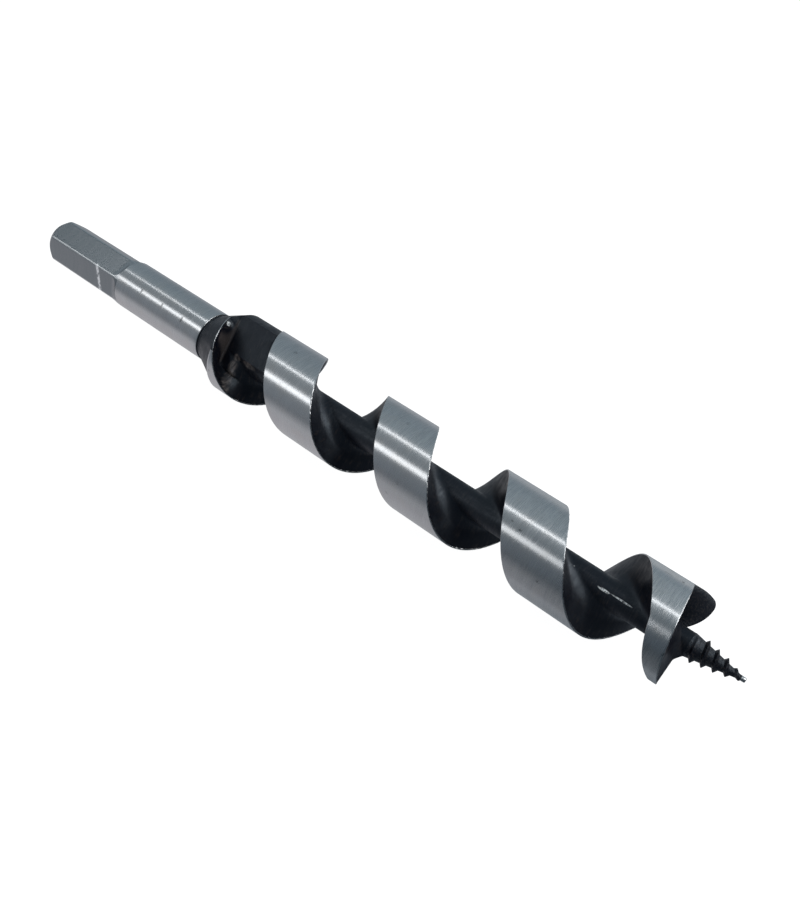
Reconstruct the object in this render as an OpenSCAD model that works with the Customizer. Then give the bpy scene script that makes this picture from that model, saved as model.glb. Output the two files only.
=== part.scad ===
// Single-flute wood auger bit for a power drill: hex and round shank, forged black
// shoulder, helical flight on a solid core, cutting lip, scoring spur and lead screw.
// The bit lies along +X, shank end at the origin, screw point towards +X.

/* [Shank] */
// Diameter of the ground round shank
shank_d = 12.5; // [12:0.1:13]
// Distance from the shank end to the black neck
shank_len = 59.3; // [45:0.1:90]
// Distance across the flats of the hex drive
hex_af = 11; // [10.6:0.1:11.4]
// Length of the flats before the cutter lifts out
hex_len = 26; // [20:0.5:32]
// Radius of the cutter that leaves the curved end of each flat
flat_cutter_r = 5.8; // [3:0.1:8]
// How far the corners of the hex taper in from the round shank to the end
corner_taper = 0.05; // [0.02:0.01:0.1]
// Angle of the first hex corner about the axis
hex_angle = 11; // [0:1:59]
// Length of the chamfer round the shank end
end_chamfer_len = 1.9; // [1:0.1:3]
// Radial depth of the chamfer round the shank end
end_chamfer_depth = 1.2; // [0.8:0.1:1.6]

/* [Neck and shoulder] */
// Length of the black neck between the shank and the cone
neck_len = 0.9; // [0.6:0.1:2]
// Depth of the neck below the ground shank
neck_relief = 0.18; // [0.16:0.01:0.3]
// Length of the cone that opens to the full diameter
cone_len = 7.8; // [5:0.1:10]
// Depth of the unground black skin below the ground land
skin_depth = 0.25; // [0.1:0.05:0.4]

/* [Flight] */
// Cutting diameter, over the ground lands
auger_d = 20; // [19:0.1:22]
// Diameter of the solid core at the bottom of the flute
core_d = 5.8; // [5.2:0.1:6.6]
// Advance of the flight in one turn
pitch = 32.3; // [29:0.1:34]
// Width of the ground land, along the axis
land_w = 14.2; // [12:0.1:15]
// Radius between the flute wall and the core
flute_fillet = 2.2; // [1.2:0.1:2.6]
// Distance from the neck to the cutting lip
body_len = 126.9; // [110:0.1:160]
// Distance from the end of the cone to the full depth of the flute all round
shoulder_len = 16.1; // [12:0.1:24]
// Distance from the axis to the flat at the start of the flute
start_flat = 3.6; // [3.2:0.1:4.4]
// Axial run-in of the flute wall where the flute begins
start_run_in = 4.3; // [2:0.1:5]

/* [Head] */
// Angle of the cutting lip about the axis
lip_angle = 192.5; // [0:0.5:359.5]
// How far the land swells towards the shank at the lip
lip_swell = 1.8; // [0.5:0.1:2.4]
// How far the relief behind the lip would fall in one turn
flank_drop = 9.2; // [7:0.1:11]
// How far the spur stands ahead of the cutting lip
spur_reach = 1.1; // [0.6:0.1:1.6]
// How far the spur falls from its crest to the core
spur_dish = 2; // [1:0.1:3]
// How far the spur crest is rounded down at the full diameter
spur_corner = 0.45; // [0.2:0.05:0.8]

/* [Lead screw] */
// Diameter of the plain boss under the screw
boss_d = 4.9; // [4.2:0.1:5.2]
// Radius between the boss and the relief behind the lip
boss_fillet = 1.9; // [1:0.1:2.4]
// Distance from the cutting lip to the first thread
boss_rise = 1.2; // [0.8:0.1:2]
// Length of the tapered, threaded part
screw_len = 9.6; // [8:0.1:12]
// Advance of the thread in one turn
screw_pitch = 2.04; // [1.8:0.02:2.4]
// Height of the thread over its tapered root
thread_h = 0.74; // [0.5:0.02:0.9]
// Width of the thread where it meets its root
thread_w = 0.78; // [0.5:0.02:0.9]
// Diameter of the blunt bright point
point_d = 1; // [0.8:0.05:1.4]
// Length of the blunt bright point
point_len = 1.3; // [0.8:0.1:2]

/* [Hidden] */

bright = [0.66, 0.69, 0.72];
black = [0.15, 0.16, 0.2];
round_fn = 96;
turn_steps = 60;
thread_steps = 30;
fillet_steps = 4;
overrun = 1;

auger_r = auger_d / 2;
core_r = core_d / 2;
shank_r = shank_d / 2;
boss_r = boss_d / 2;
step_angle = 360 / turn_steps;
// Flat facets on these radii touch the round core and boss and don't cut into them
seat_r = core_r / cos(step_angle / 2);
boss_seat_r = boss_r / cos(step_angle / 2);

hex_end = hex_len + sqrt(2 * flat_cutter_r * (shank_r - hex_af / 2));
neck_end = shank_len + neck_len;
cone_end = neck_end + cone_len;
// From here on the flute has its full depth all round
shoulder_end = cone_end + shoulder_len;
lip_z = shank_len + body_len;

// The middle of the flat that begins the flute is one turn before its full depth
flute_angle = land_angle(shoulder_end) - 360;
// All the twist is drawn on one grid of angles, with a flat facet of each land underneath
function on_grid(a) = step_angle * (round(a / step_angle - 0.5) + 0.5);
function grid_angles(from, to) = concat(
    [
        for (k = [round(from / step_angle - 0.5) : ceil(to / step_angle - 0.5) - 1])
        step_angle * (k + 0.5)
    ],
    [to]
);
head_sweep = 282;
head_angle = on_grid(lip_angle - head_sweep);
full_angle = land_angle(shoulder_end);
first_angle = on_grid(land_angle(shoulder_end - land_w - flute_fillet) - step_angle);
joint_1 = on_grid(full_angle + (head_angle - full_angle) / 3);
joint_2 = on_grid(full_angle + 2 * (head_angle - full_angle) / 3);
swell_sweep = 74;
// Angles of the rings that the head is drawn with, shared by the cutter and the spur
head_rings = grid_angles(head_angle, lip_angle);

// Angles of the spur: its crest opposite the lip, its foot ahead and its tail behind
spur_angle = lip_angle - 180;
spur_foot = spur_angle + 36;
spur_tail = spur_angle - 44;
// The core ends and the thinner boss begins just under the tail of the spur
core_end = flank_z(spur_tail) + boss_fillet / 4;
boss_end = lip_z + boss_rise;
screw_end = boss_end + screw_len;
tip_z = screw_end + point_len;

// Shank-side edge of the land at an angle, counted through all the turns
function land_z(a) = lip_z - pitch * (lip_angle - a) / 360;
// Angle at which that edge is at a height
function land_angle(z) = lip_angle - 360 * (lip_z - z) / pitch;
// Relief behind the cutting lip, seen as a ramp round the axis
function flank_z(a) = lip_z - flank_drop * (lip_angle - a) / 360;
// Swell of the land behind the lip, largest at the full diameter
function swell(a, r) =
    let (share = max(0, (a - lip_angle + swell_sweep) / swell_sweep))
    lip_swell * sin(105 * share) * (r / auger_r) ^ 2;
// Rise of a quarter-round fillet of radius f against a post of radius post_r
function fillet_rise(r, post_r, f) =
    let (d = post_r + f - r)
    d <= 0 ? 0 : f - sqrt(max(0, f * f - min(d, f) * min(d, f)));

// Radii at which a section of the flight is drawn, from the core to the land
head_wall_shares = [0.68, 0.83, 0.94, 1];
fillet_radii = [
    for (i = [1 : fillet_steps]) core_r + flute_fillet * (1 - cos(90 * i / fillet_steps))
];
fillet_top_r = core_r + flute_fillet;
flight_radii = concat([seat_r], fillet_radii, [auger_r]);

// A skin over rings of points that all have the same count, with flat ends. The other
// diagonal lets one skin lie on another that runs the other way round its section.
module skin(rings, other_diagonal = false) {
    n = len(rings);
    m = len(rings[0]);
    sides = [
        for (i = [0 : n - 2], j = [m - 1 : 2 * m - 2])
        let (
            a = i * m + j % m,
            b = i * m + (j + 1) % m,
            c = b + m,
            d = a + m
        )
        each other_diagonal ? [[a, b, d], [b, c, d]] : [[a, b, c], [a, c, d]]
    ];
    first_end = [for (j = [m - 1 : -1 : 0]) j];
    last_end = [for (j = [0 : m - 1]) (n - 1) * m + j];
    polyhedron(
        points = [for (ring = rings) each ring],
        faces = concat(sides, [first_end, last_end]),
        convexity = 8
    );
}

// A section drawn as [radius, height] pairs, turned to an angle about the axis
function turned(section, a) = [
    for (p = section) [p[0] * cos(a), p[0] * sin(a), p[1]]
];
// A level ring of points at the flight's own spacing
function ring(r, z) = [
    for (j = [turn_steps : -1 : 1])
    [r * cos(step_angle * (j + 0.5)), r * sin(step_angle * (j + 0.5)), z]
];
// Evenly spaced angles from one to another, no further apart than a step
function angles(from, to, step) =
    let (n = ceil((to - from) / step))
    [for (i = [0 : n]) from + (to - from) * i / n];
function reversed(list) = [for (i = [len(list) - 1 : -1 : 0]) list[i]];

// Section of the flight: shank side from core to land, then tip side back to the core
function flight_section(a, radii) = concat(
    [for (r = reversed(radii)) [r, tip_side_z(a, r)]],
    [for (r = radii) [r, land_z(a) - swell(a, r) - fillet_rise(r, core_r, flute_fillet)]]
);
function tip_side_z(a, r) = min(
    land_z(a) + land_w + fillet_rise(r, core_r, flute_fillet),
    flank_z(a) + min(fillet_rise(r, boss_r, boss_fillet), boss_rise)
);

// Everything is drawn standing on the shank end, then laid down along +X
module lay_down() rotate([90, 0, 90]) children();

module slab(from, to, r) translate([0, 0, from]) cylinder(h = to - from, r = r, $fn = round_fn);

// One stretch of the helical flight, without the core it is wound on
module flight(from, to) {
    intersection() {
        skin([for (a = grid_angles(from, to)) turned(flight_section(a, flight_radii), a)]);
        slab(shoulder_end, tip_z, auger_d);
    }
}

module hex_drive() {
    end_r = shank_r - corner_taper;
    color(bright) lay_down() difference() {
        union() {
            cylinder(
                h = end_chamfer_len,
                r1 = end_r - end_chamfer_depth,
                r2 = end_r,
                $fn = round_fn
            );
            translate([0, 0, end_chamfer_len])
                cylinder(h = hex_end - end_chamfer_len, r1 = end_r, r2 = shank_r, $fn = round_fn);
        }
        for (i = [0 : 5]) rotate([0, 0, hex_angle + 30 + 60 * i]) flat_cut();
    }
}

// What the milling cutter takes away for one flat, with its curved run-out
module flat_cut() {
    translate([hex_af / 2, -shank_r, -overrun])
        cube([shank_r, shank_d, hex_len + overrun]);
    translate([hex_af / 2 + flat_cutter_r, 0, hex_len])
        rotate([90, 0, 0])
        cylinder(h = shank_d, r = flat_cutter_r, center = true, $fn = round_fn);
}

module round_shank() {
    color(bright) lay_down() slab(hex_end, shank_len, shank_r);
}

module neck() {
    color(black) lay_down() slab(shank_len, neck_end, shank_r - neck_relief);
}

// Cone and full-diameter root of the flight, with the run-out of the flute cut in it
module shoulder() {
    color(black) lay_down() difference() {
        skin([ring(shank_r, neck_end), ring(auger_r, cone_end), ring(auger_r, shoulder_end)]);
        flute_start();
    }
}

// Angle before the middle of the flat at which the flat reaches the black skin
flat_sweep = acos(start_flat / (auger_r - skin_depth));
settle_sweep = 35;
skin_sweep = 200;
run_in_sweep = 200;

// Radius of the flute floor where the flute begins: skin, then the flat, then the core
function floor_r(a) =
    let (past = a - flute_angle)
    past >= 0 ? core_r + (start_flat - core_r) * max(0, 1 - past / settle_sweep) ^ 2
    : past <= -flat_sweep ? auger_r - skin_depth
    : start_flat / cos(past);
function run_in(a) =
    let (left = 1 - (a - flute_angle + flat_sweep) / run_in_sweep)
    start_run_in * min(1, max(0, left)) ^ 2;
function start_wall_z(a) = land_z(a) + land_w + run_in(a);

function start_fillet(a) = min(flute_fillet, auger_r - floor_r(a));
function start_radii(a) = concat(
    [
        for (i = [0 : fillet_steps])
        floor_r(a) + start_fillet(a) * (1 - cos(90 * i / fillet_steps))
    ],
    [auger_r + overrun]
);
function flute_section(a) = concat(
    [
        for (r = reversed(start_radii(a)))
        [r, start_wall_z(a) + fillet_rise(r, floor_r(a), start_fillet(a))]
    ],
    [
        for (r = start_radii(a))
        [r, land_z(a + 360) - fillet_rise(r, floor_r(a), start_fillet(a))]
    ]
);

// The space of the flute from its beginning on the black skin to full depth
module flute_start() {
    to = on_grid(land_angle(shoulder_end - land_w) + 2 * step_angle);
    skin([
        for (a = grid_angles(on_grid(flute_angle - skin_sweep), to))
        turned(reversed(flute_section(a)), a)
    ]);
}

module core() {
    color(black) lay_down() slab(shoulder_end, core_end, core_r);
}

module flight_1() {
    color(bright) lay_down() flight(first_angle, joint_1);
}

module flight_2() {
    color(bright) lay_down() flight(joint_1, joint_2);
}

module flight_3() {
    color(bright) lay_down() flight(joint_2, head_angle);
}

head_wall_radii = concat(fillet_radii, head_wall_shares * auger_r);
// Spacing of ring points that have nowhere else to go, along the axis and off it
spare = 0.1;
nudge = 0.01;
// Hollow of the flute walls and the relief, halfway out
wall_hollow = 0.06;
function hollow(r) = wall_hollow * sin(180 * max(0, r - fillet_top_r) / (auger_r - fillet_top_r));

// Section of the head: its inner side steps in from the core to the boss at core_end
function head_section(a) =
    let (
        top = tip_side_z(a, seat_r),
        low = land_z(a) - flute_fillet,
        on_core = top < core_end + 2 * spare,
        on_boss = low > core_end - 2 * spare,
        off = on_core || on_boss ? nudge : 0,
        top_r = on_core ? seat_r : boss_seat_r,
        low_r = on_boss ? boss_seat_r : seat_r,
        step_z = on_core ? top - 2 * spare : on_boss ? low + 2 * spare : core_end
    )
    concat(
        [for (r = reversed(head_wall_radii)) [r, tip_side_z(a, r) - hollow(r)]],
        [
            [seat_r, top],
            on_core ? [seat_r + 1.5 * off, top - spare] : [boss_seat_r, tip_side_z(a, boss_seat_r)],
            [top_r + 2 * off, step_z],
            [low_r + 1.8 * off, step_z - (off > 0 ? spare : 0)],
            [low_r, low]
        ],
        [
            for (r = head_wall_radii)
            [r, land_z(a) - swell(a, r) - fillet_rise(r, core_r, flute_fillet) + hollow(r)]
        ]
    );

// Last part of the flight: its shank side is the rake face of the cutting lip
module main_cutter() {
    color(bright) lay_down() skin([for (a = head_rings) turned(head_section(a), a)]);
}

// Slopes of the spur, as a rise in one turn, ahead of and behind its crest
spur_lead = 46;
spur_trail = 56;
spur_crest_share = 0.83;
spur_edge = 0.05;
spur_radii = concat([boss_seat_r, seat_r], head_wall_radii);

function spur_crest_z(r) =
    let (
        crest_r = spur_crest_share * auger_r,
        away = (r - crest_r) / (crest_r - core_r),
        corner = max(0, (r - crest_r) / (auger_r - crest_r))
    )
    lip_z + spur_reach - spur_dish * away ^ 2 - spur_corner * corner ^ 3;
function spur_z(a, r) =
    spur_crest_z(r) - spur_lead * max(0, a - spur_angle) / 360
    - spur_trail * max(0, spur_angle - a) / 360;
function spur_section(a) = concat(
    [for (r = reversed(spur_radii)) [r, max(spur_z(a, r), tip_side_z(a, r) + spur_edge)]],
    [for (r = spur_radii) [r, tip_side_z(a, r) - hollow(r)]]
);
spur_rings = [
    for (a = head_rings) if (a > spur_tail - step_angle && a < spur_foot + step_angle) a
];

// Raised wing that scores the hole ahead of the lip, standing on the relief behind it
module spur_cutter() {
    color(black) lay_down()
        skin([for (a = spur_rings) turned(spur_section(a), a)], other_diagonal = true);
}

module screw_boss() {
    color(black) lay_down() slab(core_end, boss_end, boss_r);
}

module screw_root() {
    color(black) lay_down() translate([0, 0, boss_end])
        cylinder(h = screw_len, r1 = boss_r, r2 = point_r, $fn = round_fn);
}

// Angle at which the thread leaves the boss
thread_angle = lip_angle - 130;
thread_turns = screw_len / screw_pitch;
thread_run_in = 150;
thread_lean_share = 0.1;

point_r = point_d / 2;
function root_r(z) = max(point_r, boss_r + (point_r - boss_r) * (z - boss_end) / screw_len);
function thread_z(a) = boss_end + thread_w / 2 + screw_pitch * a / 360;
// The thread grows out of the boss and gets lower towards the point
function thread_rise(a) =
    thread_h * min(1, 0.04 + a / thread_run_in, 0.3 + 2 * (1 - a / (360 * thread_turns)));
function thread_section(a) =
    let (z = thread_z(a), half = thread_w / 2, seat = 1 / cos(180 / thread_steps))
    [
        [root_r(z + half) * seat, z + half],
        [root_r(z) + thread_rise(a), z + thread_w * thread_lean_share],
        [root_r(z - half) * seat, z - half]
    ];

module screw_thread() {
    color(black) lay_down() skin([
        for (a = angles(0, 360 * thread_turns, 360 / thread_steps))
        turned(thread_section(a), a + thread_angle)
    ]);
}

module screw_point() {
    chamfer = point_d / 5;
    color(bright) lay_down() {
        slab(screw_end, tip_z - chamfer, point_r);
        translate([0, 0, tip_z - chamfer])
            cylinder(h = chamfer, r1 = point_r, r2 = point_r - chamfer, $fn = round_fn);
    }
}

hex_drive();
round_shank();
neck();
shoulder();
core();
flight_1();
flight_2();
flight_3();
main_cutter();
spur_cutter();
screw_boss();
screw_root();
screw_thread();
screw_point();
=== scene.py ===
"""Auger bit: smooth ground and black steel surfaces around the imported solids."""

import math

import bmesh
import bpy
import numpy as np
from mathutils import Matrix, Vector, noise


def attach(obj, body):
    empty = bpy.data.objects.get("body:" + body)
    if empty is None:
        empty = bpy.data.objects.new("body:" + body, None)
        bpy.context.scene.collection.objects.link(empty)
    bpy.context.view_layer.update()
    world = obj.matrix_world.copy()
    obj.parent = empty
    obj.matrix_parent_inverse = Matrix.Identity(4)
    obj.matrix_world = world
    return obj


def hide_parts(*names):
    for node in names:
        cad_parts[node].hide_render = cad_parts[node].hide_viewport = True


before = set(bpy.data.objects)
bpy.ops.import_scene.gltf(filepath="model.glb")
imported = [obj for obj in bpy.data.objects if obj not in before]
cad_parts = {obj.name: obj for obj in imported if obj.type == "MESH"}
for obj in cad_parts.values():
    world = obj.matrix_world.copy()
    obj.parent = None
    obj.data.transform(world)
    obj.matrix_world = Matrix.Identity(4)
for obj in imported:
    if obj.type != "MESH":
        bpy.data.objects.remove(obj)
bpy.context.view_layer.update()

MM = 0.001

# ---------------------------------------------------------------- sizes, in mm and degrees
SHANK_R = 6.25
SHANK_LEN = 59.3
CORNER_TAPER = 0.05
HEX_HALF = 5.5
HEX_LEN = 26.0
FLAT_CUTTER_R = 5.8
RUN_OUT_R = 4.4
HEX_ANGLE = 11.0
END_CHAMFER_LEN = 1.9
END_CHAMFER_DEPTH = 1.2
HEX_END = HEX_LEN + math.sqrt(2 * FLAT_CUTTER_R * (SHANK_R - HEX_HALF))
NECK_END = 60.2
NECK_R = 6.07
CONE_END = 67.6
AUGER_R = 10.0
SKIN_R = 9.75
CORE_R = 2.9
PITCH = 32.3
LAND_W = 14.2
LIP_X = 186.2
LIP_ANGLE = 192.5
SHOULDER_END = 84.1
START_FLAT = 3.6
CREASE_X = 66.2
START_KEPT = 34.0
START_BLEND = 42.0
START_RUN_IN = 3.5
RUN_IN_SWEEP = 200.0
FLOOR_SWEEP = 24.0
LIP_SWELL = 1.8
SWELL_SWEEP = 74.0
SWELL_PHASE = 105.0
FLANK_DROP = 9.2
SPUR_REACH = 1.1
SPUR_DISH = 2.0
SPUR_CORNER = 0.45
SPUR_CREST_R = 0.83 * AUGER_R
SPUR_ANGLE = LIP_ANGLE - 180
BOSS_R = 2.45
BOSS_FILLET = 1.9
BOSS_RISE = 1.2
BOSS_RISE_POWER = 1.25
BOSS_END = LIP_X + BOSS_RISE
CORE_END = 180.95
CORE_END_LEAD = 0.5
CORE_END_SOFT = 1.6
SCREW_LEN = 9.6
SCREW_PITCH = 2.1
SCREW_END = BOSS_END + SCREW_LEN
TIP_X = 198.3
POINT_R = 0.5
THREAD_H = 0.74
THREAD_W = 0.78
THREAD_ANGLE = LIP_ANGLE - 130
THREAD_TURNS = SCREW_LEN / SCREW_PITCH
THREAD_SHIFT = 0.06
THREAD_FOOT = 1.25
THREAD_CURVE = 0.9
THREAD_FIRST_SHARE = 0.04
THREAD_RISE_SWEEP = 150.0
THREAD_LAST_SHARE = 0.3

STEP = 2.0
TURN = int(360 / STEP)
WELD = 1e-7

# where the cone reaches the radius of the black skin under the lands
RIM_X = NECK_END + (SKIN_R - SHANK_R) / (AUGER_R - SHANK_R) * (CONE_END - NECK_END)


def land_x(a):
    """Shank-side edge of the land at an angle counted through all the turns."""
    return LIP_X - PITCH * (LIP_ANGLE - a) / 360


def land_angle(x):
    return LIP_ANGLE - 360 * (LIP_X - x) / PITCH


FLUTE_ANGLE = land_angle(SHOULDER_END) - 360
FLAT_SWEEP = math.degrees(math.acos(START_FLAT / SKIN_R))


def smooth_step(t):
    t = min(1.0, max(0.0, t))
    return t * t * (3 - 2 * t)


def smooth_min(a, b, k):
    """The smaller of two values, rounded where they are closer than k."""
    h = max(k - abs(a - b), 0.0) / k
    return min(a, b) - h * h * k / 4


def flank_x(a):
    """The relief behind the lip, where it drops away from the cutting plane."""
    return LIP_X - FLANK_DROP * (LIP_ANGLE - a) / 360


def swell(a, r):
    """How far the lip's outer corner bulges towards the shank."""
    share = max(0.0, (a - LIP_ANGLE + SWELL_SWEEP) / SWELL_SWEEP)
    return LIP_SWELL * math.sin(math.radians(SWELL_PHASE * share)) * (r / AUGER_R) ** 2


def fillet_rise(r, post_r, length, height):
    """Axial rise of an elliptical fillet against a post, at radius r."""
    d = min(post_r + height - r, height)
    return 0.0 if d <= 0 else length * (1 - math.sqrt(max(0.0, 1 - (d / height) ** 2)))


def floor_r(a):
    """Radius of the flute's floor: a flat at the start, then the core."""
    past = a - FLUTE_ANGLE
    if past >= 0:
        return CORE_R + (START_FLAT - CORE_R) * max(0.0, 1 - past / FLOOR_SWEEP) ** 2
    if past <= -FLAT_SWEEP:
        return SKIN_R
    return START_FLAT / math.cos(math.radians(past))


def run_in(a):
    """How much wider the land is near the start of the flute."""
    left = 1 - (a - FLUTE_ANGLE + FLAT_SWEEP) / RUN_IN_SWEEP
    return START_RUN_IN * min(1.0, max(0.0, left)) ** 2


def post_r(x):
    """Radius of the core, and of the thinner boss past its end."""
    share = smooth_step((x - CORE_END + CORE_END_LEAD) / CORE_END_SOFT)
    return CORE_R + (BOSS_R - CORE_R) * share


def edge_shank(a):
    return land_x(a) - swell(a, AUGER_R)


def edge_tip(a):
    return min(land_x(a) + LAND_W + run_in(a), flank_x(a))


def land_mid(a):
    return (edge_shank(a) + edge_tip(a)) / 2


def cone_r(x):
    share = (x - NECK_END) / (CONE_END - NECK_END)
    return SHANK_R + (AUGER_R - SHANK_R) * share


def outer_r(x):
    return min(cone_r(x), SKIN_R)


# ---------------------------------------------------------------- mesh helpers
def resample(points, count):
    """The same line drawn with count points, evenly spaced along it."""
    p = np.array(points, float)
    d = np.r_[0, np.cumsum(np.hypot(*np.diff(p, axis=0).T))]
    t = np.linspace(0, d[-1], count)
    return np.c_[np.interp(t, d, p[:, 0]), np.interp(t, d, p[:, 1])]


def place(x, r, angle):
    t = math.radians(angle)
    return (x, r * math.cos(t), r * math.sin(t))


class Skin:
    """Collects points and faces, in mm, and makes one closed object of them."""

    def __init__(self):
        self.points = []
        self.faces = []

    def ring(self, points):
        first = len(self.points)
        self.points += points
        return list(range(first, len(self.points)))

    def column(self, section, angle):
        return self.ring([place(x, r, angle) for x, r in section])

    def face(self, *ids):
        ring = [v for i, v in enumerate(ids) if v != ids[i - 1]]
        if len(set(ring)) > 2:
            self.faces.append(ring)

    def join(self, one, two, close=False):
        count = len(one)
        for j in range(count if close else count - 1):
            k = (j + 1) % count
            self.face(one[j], one[k], two[k], two[j])

    def tube(self, rings):
        """Walls between rings in a row, and a face over each end."""
        for one, two in zip(rings, rings[1:]):
            self.join(one, two, close=True)
        self.faces.append(rings[0])
        self.faces.append(rings[-1][::-1])

    def zip_up(self, one, two):
        """Triangles between two lines of points that run along x with different counts."""
        i = j = 0
        while i < len(one) - 1 or j < len(two) - 1:
            next_i = self.points[one[i + 1]][0] if i < len(one) - 1 else 1e9
            next_j = self.points[two[j + 1]][0] if j < len(two) - 1 else 1e9
            if next_i <= next_j:
                self.face(one[i], one[i + 1], two[j])
                i += 1
            else:
                self.face(one[i], two[j + 1], two[j])
                j += 1

    def build(self, name, material, nodes, sharp=38.0):
        mesh = bpy.data.meshes.new(name)
        mesh.from_pydata([[c * MM for c in p] for p in self.points], [], self.faces)
        work = bmesh.new()
        work.from_mesh(mesh)
        bmesh.ops.remove_doubles(work, verts=work.verts, dist=WELD)
        loose = [v for v in work.verts if not v.link_faces]
        bmesh.ops.delete(work, geom=loose, context="VERTS")
        big = [f for f in work.faces if len(f.verts) > 4]
        bmesh.ops.triangulate(work, faces=big)
        bmesh.ops.recalc_face_normals(work, faces=work.faces)
        open_edges = sum(1 for e in work.edges if len(e.link_faces) != 2)
        print(name, "faces", len(work.faces), "open or shared edges", open_edges)
        work.to_mesh(mesh)
        work.free()
        mesh.polygons.foreach_set("use_smooth", [True] * len(mesh.polygons))
        mesh.set_sharp_from_angle(angle=math.radians(sharp))
        obj = bpy.data.objects.new(name, mesh)
        bpy.context.scene.collection.objects.link(obj)
        obj.data.materials.append(material)
        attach(obj, "root")
        if nodes:
            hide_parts(*nodes)
        return obj


# ---------------------------------------------------------------- materials
class Tree:
    """A short way to write a tree of nodes. Lengths in it are mm."""

    def __init__(self, tree):
        self.tree = tree

    def add(self, kind, inputs=None, **settings):
        made = self.tree.nodes.new("ShaderNode" + kind)
        for key, value in settings.items():
            setattr(made, key, value)
        for key, value in (inputs or {}).items():
            if isinstance(value, bpy.types.NodeSocket):
                self.tree.links.new(value, made.inputs[key])
            else:
                made.inputs[key].default_value = value
        return made

    def math(self, operation, one, two=0.0):
        return self.add("Math", {0: one, 1: two}, operation=operation).outputs[0]

    def span(self, value, low, high, to_low=0.0, to_high=1.0):
        ins = {0: value, 1: low, 2: high, 3: to_low, 4: to_high}
        return self.add("MapRange", ins, interpolation_type="SMOOTHSTEP").outputs[0]

    def vector(self, operation, one, two):
        key = 3 if operation == "SCALE" else 1
        return self.add("VectorMath", {0: one, key: two}, operation=operation).outputs

    def noise(self, vector, scale, detail=2.0, rough=0.5):
        ins = {"Vector": vector, "Scale": scale, "Detail": detail, "Roughness": rough}
        return self.add("TexNoise", ins).outputs[0]

    def mix(self, share, one, two):
        ins = {0: share, 6: one, 7: two}
        return self.add("Mix", ins, data_type="RGBA").outputs[2]

    def point(self):
        """Place on the object in mm, and its three parts."""
        place_m = self.add("TexCoord").outputs["Object"]
        at = self.vector("SCALE", place_m, 1000.0)[0]
        parts = self.add("SeparateXYZ", {0: at}).outputs
        return at, parts[0], parts[1], parts[2]

    def near(self, at, centre, size):
        """Zero outside a ball round a place, and one from half its radius inwards."""
        gap = self.vector("DISTANCE", at, centre)[1]
        return self.span(gap, size, size / 2)

    def marks(self, at, places, chip=None):
        """One on small marks, each a place, a size and how far it is drawn out along the bit."""
        total = 0.0
        for centre, size, drawn in places:
            squeezed = self.vector("MULTIPLY", at, (1 / drawn, 1, 1))[0]
            one = self.near(squeezed, (centre[0] / drawn, centre[1], centre[2]), size)
            total = self.math("MAXIMUM", total, one)
        return self.math("MULTIPLY", total, chip) if chip else total

    def line(self, vector, scale, width):
        """Thin wandering lines where a noise passes through its middle value."""
        off = self.math("ABSOLUTE", self.math("SUBTRACT", self.noise(vector, scale, 1.0), 0.5))
        return self.span(off, width, 0.0)


def new_material(name):
    mat = bpy.data.materials.new(name)
    mat.use_nodes = True
    return Tree(mat.node_tree), mat.node_tree.nodes["Principled BSDF"], mat


# small marks: the place in mm, the size in mm, and how far it is drawn out along the bit
TICKS = [
    ((37.55, -3.50, 5.18), 1.0, 0.4), ((45.31, -3.75, 5.00), 0.9, 0.4),
    ((52.62, -3.97, 4.83), 1.0, 0.4), ((180.8, 5.05, 8.61), 0.35, 1.0),
    ((177.8, 4.96, 8.66), 0.1, 12.0), ((151.5, -4.72, 8.80), 0.3, 1.5),
    ((149.2, -4.1, 9.1), 0.2, 2.0), ((184.3, -9.6, -1.6), 0.4, 1.0),
]
# painted highlights: a glint on the flute's wall at its start and a broken glint along the core,
# as pale marks; the dot at x 162 is a real chip of bare metal
GLINTS_AND_CHIP = [
    ((65.0, 0.35, 7.6), 0.75, 1.0), ((162.33, -1.03, 3.1), 0.3, 1.0),
    ((169.4, -1.70, 2.35), 0.36, 4.5), ((173.2, -1.58, 2.43), 0.22, 12.0),
]
# painted highlight: the V of reflected light at the start of the first flute, down the fillet at x
# 70 and along the core
FIRST_FLUTE_V_HIGHLIGHT = [
    ((70.0, -2.6, 1.9), 1.2, 1.0), ((70.0, -4.3, 0.5), 1.7, 0.8), ((70.2, -5.7, -0.8), 1.8, 0.8),
    ((70.6, -7.3, -1.9), 1.9, 0.8), ((71.4, -8.8, -2.6), 1.5, 0.8), ((73.8, -2.5, 1.7), 1.1, 2.2),
]

MILLED_LOW, MILLED_HIGH = (0.23, 0.25, 0.265, 1), (0.25, 0.267, 0.282, 1)
GROUND_LOW, GROUND_HIGH = (0.47, 0.485, 0.50, 1), (0.565, 0.575, 0.585, 1)
GROUND_DULL, GROUND_WARM = (0.45, 0.46, 0.47, 1), (0.51, 0.50, 0.49, 1)
# painted light: a lighter tone for the run-out of the hex flats
RUN_OUT_PAINTED_LIGHT = (0.42, 0.435, 0.45, 1)
CORNER_TONE = (0.52, 0.54, 0.55, 1)
GLINT_TONE = (0.93, 0.95, 0.96, 1)
NICK_TONE = (0.16, 0.165, 0.17, 1)
OXIDE_DARK, OXIDE_LIGHT = (0.0022, 0.0028, 0.0058, 1), (0.030, 0.024, 0.022, 1)
# the next three tones are painted light: a highlight along the crease, the V highlight in the
# first flute, and glints beside one chip of bare metal
CREASE_HIGHLIGHT_TONE = (0.055, 0.047, 0.045, 1)
V_HIGHLIGHT_TONE = (0.12, 0.105, 0.10, 1)
GLINT_AND_CHIP_TONE = (0.75, 0.78, 0.78, 1)
GLINT_X = 21.9


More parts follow.
